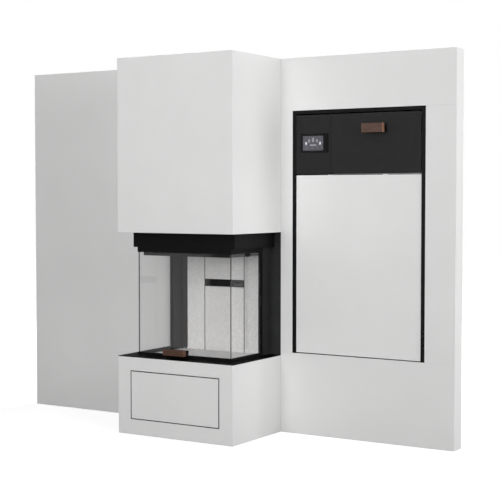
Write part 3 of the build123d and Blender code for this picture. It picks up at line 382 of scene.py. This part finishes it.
def clear_glass(name, clear=(0.98, 0.98, 0.98)):
    """Thin clear pane: what is behind it shows straight through, and it mirrors more at a slant."""
    s = Shader(name, (1, 1, 1), 0.02, metal=1.0)
    through = s.add("ShaderNodeBsdfTransparent")
    through.inputs["Color"].default_value = (*clear, 1)
    s.join(s.ranged(s.noise(0.09, 4), 0.0, 0.05, 0.35, 0.75), s.main.inputs["Roughness"])
    weight = s.add("ShaderNodeLayerWeight")
    weight.inputs["Blend"].default_value = 0.5
    slant = calculated(s.tree, "POWER", weight.outputs["Facing"], 5)
    mix = s.add("ShaderNodeMixShader")
    s.join(s.ranged(slant, 0.04, 1.0), mix.inputs["Fac"])
    s.join(through.outputs["BSDF"], mix.inputs[1])
    s.join(s.main.outputs["BSDF"], mix.inputs[2])
    s.join(mix.outputs["Shader"], s.output.inputs["Surface"])
    return s.material


def lit(name, color, strength, base=(0.05, 0.05, 0.055)):
    """A lit part of the screen, with the faint rows of its dots."""
    s = Shader(name, base, 0.25)
    s.main.inputs["Emission Strength"].default_value = strength
    s.main.inputs["Emission Color"].default_value = (*color, 1)
    s.rough(s.noise(0.02, 3), 0.2, 0.32)
    s.bump(s.noise(0.0008, 2), 0.00003)
    glow = s.shade(color, s.noise(0.05, 2), 0.9, 1.08)
    s.join(glow, s.main.inputs["Emission Color"])
    return s.material


WHITE = white_paint("white_paint")
WHITE_PANEL = white_paint("white_panel", 0.82)

def grown(box, width):
    """The box's low and high (x, z), width further out."""
    low, high = box
    return (low.x - width, low.z - width), (high.x + width, high.z + width)


# The base board and the access panel carry painted shade along the gap between them.
BASE = white_paint("white_base", gap=grown(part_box("access_panel"), GAP_SHADE_OPENING))
ACCESS = white_paint("white_access", panel=grown(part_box("access_panel"), -GAP_SHADE_PANEL))
BLACK = black_paint("black_paint", 0.003, (0.45, 0.6), 0.12)
BLACK_COLUMN = black_paint("black_column", 0.022, (0.45, 0.6), 0.2)
BLACK_FLANGE = black_paint("black_flange", 0.024, (0.5, 0.65), 0.2)
BLACK_INNER = black_paint("black_inner", 0.002, (0.6, 0.75), 0.08)
BLACK_PLATE = black_paint("black_plate", 0.0015, (0.45, 0.6), 0.03)
HATCH = black_paint("black_hatch", 0.013, (0.5, 0.66), 0.2)
screen_low, screen_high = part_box("display_screen")
BEZEL = ((BEZEL_X[0], screen_low.z - BEZEL_RIM), (BEZEL_X[1], screen_high.z + BEZEL_RIM))
CONTROL = black_paint("black_control", 0.0115, (0.5, 0.66), 0.2, panel=BEZEL)
LINING = stone_lining("lining_board", 0.90, (-LINING_JOINT, LINING_JOINT))
FLOOR_LINING = stone_lining("floor_board", 0.84)
STEEL = bare_steel("drawn_steel")
STEEL_UP = bare_steel("tube_steel", 0.36, 0.4, (40, 40, 1))
ZINC = galvanised("zinc_sheet")
TIMBER = sawn_timber("sawn_timber")
BELT = rubber("belt_rubber")
IRON = cast_iron("cast_iron")
PLASTIC = plastic("dark_plastic")
GUIDE = plastic("guide_plastic", 0.05, 0.6)
GLASS = clear_glass("clear_glass")
DOOR_WOOD = dark_wood("door_wood", "door_handle_grip")
# The hatch grip's ends are made up to three times lighter: wear and a painted highlight.
HATCH_WOOD = dark_wood("hatch_wood", "hatch_handle_grip", (0.118, 0.056, 0.034), (0.050, 0.025, 0.015), 3.0)
SCREEN = lit("screen", (0.036, 0.035, 0.047), 1.0)

finishes = {
    WHITE: (
        "wall_boards breast_front_board breast_side_boards breast_end_boards base_side_boards"
    ),
    BASE: "base_front_board",
    ACCESS: "access_panel",
    WHITE_PANEL: "cover_panel",
    TIMBER: "wall_frame access_catches",
    BLACK: (
        "base_pan smoke_dome flue_pipe door_bottom_rail door_top_rail door_trims door_stiles "
        "hatch_handle_bracket hood_sleeve module_frame"
    ),
    BLACK_COLUMN: "side_columns",
    BLACK_FLANGE: "wall_flanges",
    BLACK_INNER: "chamber_back",
    BLACK_PLATE: "hearth_plate",
    CONTROL: "control_panel",
    HATCH: "hatch_panel",
    LINING: "rear_lining baffle_plate",
    FLOOR_LINING: "floor_lining",
    STEEL: "lift_shaft idler_left idler_right hatch_hinge hopper_grille auger_screw",
    STEEL_UP: "insert_stand stand_feet module_feet",
    ZINC: (
        "air_box air_spigot air_flap hatch_cheeks module_casing module_back hopper auger_housing "
        "drop_chute"
    ),
    BELT: "lift_belts",
    IRON: "counterweight_left counterweight_right shaft_bearings",
    PLASTIC: "flap_actuator electrics auger_motor",
    GUIDE: "guide_strips",
    GLASS: "door_glass_front door_glass_sides",
    DOOR_WOOD: "door_handle_grip",
    HATCH_WOOD: "hatch_handle_grip",
    SCREEN: "display_screen",
}
for material, names in finishes.items():
    for name in names.split():
        piece = nodes[name]
        piece.data.materials.clear()
        piece.data.materials.append(material)


# Small rounded edges on the sharp solids, so that they catch the light
EDGE_WIDTH = 0.0015
WELD_DISTANCE = 0.00002


def soften(name, width):
    piece = nodes[name]
    weld = piece.modifiers.new("weld", "WELD")
    weld.merge_threshold = WELD_DISTANCE
    bevel = piece.modifiers.new("bevel", "BEVEL")
    bevel.width = width
    bevel.segments = 2
    bevel.limit_method = "ANGLE"
    bevel.angle_limit = math.radians(40)
    bevel.harden_normals = False


white_boards = "wall_boards breast_front_board breast_side_boards base_front_board base_side_boards"
for name in white_boards.split():
    soften(name, EDGE_WIDTH)


# Marks on the display
MARK_DEPTH = 0.0003
BAR_COUNT = 5
BAR_PITCH = 0.0085
BAR_SIZE = (0.0062, 0.008)
BAR_DROP = 0.011


def flat_piece(name, outline, inner, y, depth, material, body):
    """A thin plate round outline, a list of (x, z), with its front at y. inner, when given, is its hole."""
    mesh = bpy.data.meshes.new(name)
    work = bmesh.new()
    count = len(outline)
    rings = [outline] if inner is None else [outline, inner]
    front = [[work.verts.new((x, y, z)) for x, z in ring] for ring in rings]
    back = [[work.verts.new((x, y + depth, z)) for x, z in ring] for ring in rings]
    if inner is None:
        work.faces.new(front[0])
        work.faces.new(back[0])
    for i in range(count):
        j = (i + 1) % count
        for fore, rear in zip(front, back):
            work.faces.new((fore[i], fore[j], rear[j], rear[i]))
        if inner is not None:
            for side in (front, back):
                work.faces.new((side[0][i], side[0][j], side[1][j], side[1][i]))
    bmesh.ops.recalc_face_normals(work, faces=work.faces)
    work.to_mesh(mesh)
    work.free()
    mesh.materials.append(material)
    piece = bpy.data.objects.new(name, mesh)
    scene.collection.objects.link(piece)
    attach(piece, body)
    return piece


def disc(x, z, rx, rz, count=20):
    return [
        (x + rx * math.cos(2 * math.pi * i / count), z + rz * math.sin(2 * math.pi * i / count))
        for i in range(count)
    ]


def bar(x, z, width, height):
    x0, x1, z0, z1 = x - width / 2, x + width / 2, z - height / 2, z + height / 2
    return [(x0, z0), (x1, z0), (x1, z1), (x0, z1)]


screen_x = (screen_low.x + screen_high.x) / 2
screen_z = (screen_low.z + screen_high.z) / 2
mark_y = screen_low.y - MARK_DEPTH
BRIGHT = lit("mark_bright", (0.62, 0.62, 0.68), 1.0)
DIM = lit("mark_dim", (0.34, 0.34, 0.39), 1.0)
# Five small signs in an arc: x, z, half width, half height, the hole's share of it and the material
signs = (
    (-0.046, -0.001, 0.0060, 0.0095, 0.0, BRIGHT),
    (-0.026, 0.014, 0.0062, 0.0085, 0.45, DIM),
    (0.0, 0.019, 0.0070, 0.0120, 0.5, DIM),
    (0.026, 0.014, 0.0062, 0.0085, 0.45, DIM),
    (0.046, -0.001, 0.0060, 0.0095, 0.0, BRIGHT),
)
for index, (x, z, rx, rz, hole, material) in enumerate(signs):
    outline = disc(screen_x + x, screen_z + z, rx, rz)
    inner = disc(screen_x + x, screen_z + z, rx * hole, rz * hole) if hole else None
    flat_piece(f"display_mark_{index}", outline, inner, mark_y, MARK_DEPTH, material, "frame")
# A row of bars below them
for index in range(BAR_COUNT):
    x = screen_x + (index - (BAR_COUNT - 1) / 2) * BAR_PITCH
    outline = bar(x, screen_z - BAR_DROP, *BAR_SIZE)
    flat_piece(f"display_bar_{index}", outline, None, mark_y, MARK_DEPTH, DIM, "frame")


# Floor and light
def seen(tree):
    """1 for rays that come from the camera, straight or through glass."""
    path = tree.nodes.new("ShaderNodeLightPath")
    return calculated(tree, "MAXIMUM", path.outputs["Is Camera Ray"], path.outputs["Is Transmission Ray"])


def diffuse(tree, tone):
    node = tree.nodes.new("ShaderNodeBsdfDiffuse")
    node.inputs["Color"].default_value = (tone, tone, tone, 1)
    return node.outputs["BSDF"]


def floor_material():
    """Pale floor: white to the eye, with the object's shadow, and little light thrown back up."""
    material = bpy.data.materials.new("floor")
    material.use_nodes = True
    tree = material.node_tree
    tree.nodes.remove(tree.nodes["Principled BSDF"])
    output = tree.nodes["Material Output"]
    glow = tree.nodes.new("ShaderNodeEmission")
    # Far from the object, where little lamp light falls, the floor glows more, and so it stays white.
    place = tree.nodes.new("ShaderNodeTexCoord")
    distance = tree.nodes.new("ShaderNodeVectorMath")
    distance.operation = "LENGTH"
    tree.links.new(place.outputs["Object"], distance.inputs[0])
    level = map_range(tree, distance.outputs["Value"], 0.72, 1.0, 1.8, 4.5)
    tree.links.new(level, glow.inputs["Strength"])
    both = tree.nodes.new("ShaderNodeAddShader")
    tree.links.new(diffuse(tree, 0.5), both.inputs[0])
    tree.links.new(glow.outputs["Emission"], both.inputs[1])
    mix = tree.nodes.new("ShaderNodeMixShader")
    tree.links.new(seen(tree), mix.inputs["Fac"])
    tree.links.new(diffuse(tree, 0.16), mix.inputs[1])
    tree.links.new(both.outputs["Shader"], mix.inputs[2])
    tree.links.new(mix.outputs["Shader"], output.inputs["Surface"])
    return material


FLOOR_HALF = 20
FLOOR_DROP = 0.0005
mesh = bpy.data.meshes.new("floor")
corners = [
    (-FLOOR_HALF, -FLOOR_HALF, 0), (FLOOR_HALF, -FLOOR_HALF, 0),
    (FLOOR_HALF, FLOOR_HALF, 0), (-FLOOR_HALF, FLOOR_HALF, 0),
]
mesh.from_pydata(corners, [], [(0, 1, 2, 3)])
mesh.materials.append(floor_material())
floor = bpy.data.objects.new("floor", mesh)
floor.location.z = -FLOOR_DROP
floor.visible_glossy = False
scene.collection.objects.link(floor)

# White to the eye, pale grey as light. What mirrors towards the camera's side sees a dark room there,
# with a white card on its left that ends in a straight edge.
CARD_EDGE = (-0.5508, -0.5532)
CARD_STRENGTH = 0.45
ROOM_DARK = 0.1
ROOM_LIGHT = 0.8
LIGHT_STRENGTH = 0.12
world = bpy.data.worlds.new("world")
scene.world = world
world.use_nodes = True
tree = world.node_tree
background = tree.nodes["Background"]
background.inputs["Color"].default_value = (1, 1, 1, 1)
path = tree.nodes.new("ShaderNodeLightPath")
direction = tree.nodes.new("ShaderNodeTexCoord")
parts = tree.nodes.new("ShaderNodeSeparateXYZ")
tree.links.new(direction.outputs["Generated"], parts.inputs["Vector"])
card = map_range(tree, parts.outputs["X"], 0.0, CARD_STRENGTH, *CARD_EDGE)
before = calculated(tree, "LESS_THAN", parts.outputs["Y"], -0.6)
card = calculated(tree, "MULTIPLY", card, before)
room = map_range(tree, parts.outputs["Y"], ROOM_DARK, ROOM_LIGHT, -0.3, 0.3)
room = calculated(tree, "ADD", room, card)
mirrored = calculated(tree, "MULTIPLY", path.outputs["Is Glossy Ray"], room)
level = calculated(tree, "MAXIMUM", mirrored, seen(tree))
level = calculated(tree, "MAXIMUM", level, LIGHT_STRENGTH)
tree.links.new(level, background.inputs["Strength"])


def area_light(name, place, target, size, power):
    data = bpy.data.lights.new(name, "AREA")
    data.shape = "RECTANGLE"
    data.size, data.size_y = size
    data.energy = power
    lamp = bpy.data.objects.new(name, data)
    lamp.location = place
    lamp.rotation_mode = "QUATERNION"
    lamp.rotation_quaternion = (Vector(target) - Vector(place)).to_track_quat("-Z", "Y")
    scene.collection.objects.link(lamp)


# Name, place, target, size and power in watts
lamps = (
    ("front", (0.5, -7.0, 3.5), (0.0, 0.0, 1.1), (3.0, 3.0), 135),
    ("low", (0.6, -7.0, 1.3), (0.0, 0.0, 1.0), (2.0, 1.6), 138),
    ("top", (0.0, -2.2, 5.2), (0.0, -0.2, 1.2), (4.0, 2.5), 26),
    ("right", (6.5, -3.0, 3.4), (0.6, -0.2, 1.1), (2.5, 2.5), 112),
    ("side", (7.0, 0.3, 2.2), (1.0, -0.2, 1.1), (2.5, 2.5), 212),
    ("rear", (1.0, 6.5, 3.2), (0.0, 0.3, 1.1), (3.5, 3.0), 190),
    ("left", (-6.5, 1.5, 2.6), (-0.8, 0.2, 1.1), (2.5, 2.5), 60),
    ("above", (0.0, 1.4, 5.6), (0.0, 0.1, 2.2), (3.0, 2.0), 130),
)
for lamp in lamps:
    area_light(*lamp)

scene.view_settings.view_transform = "Standard"
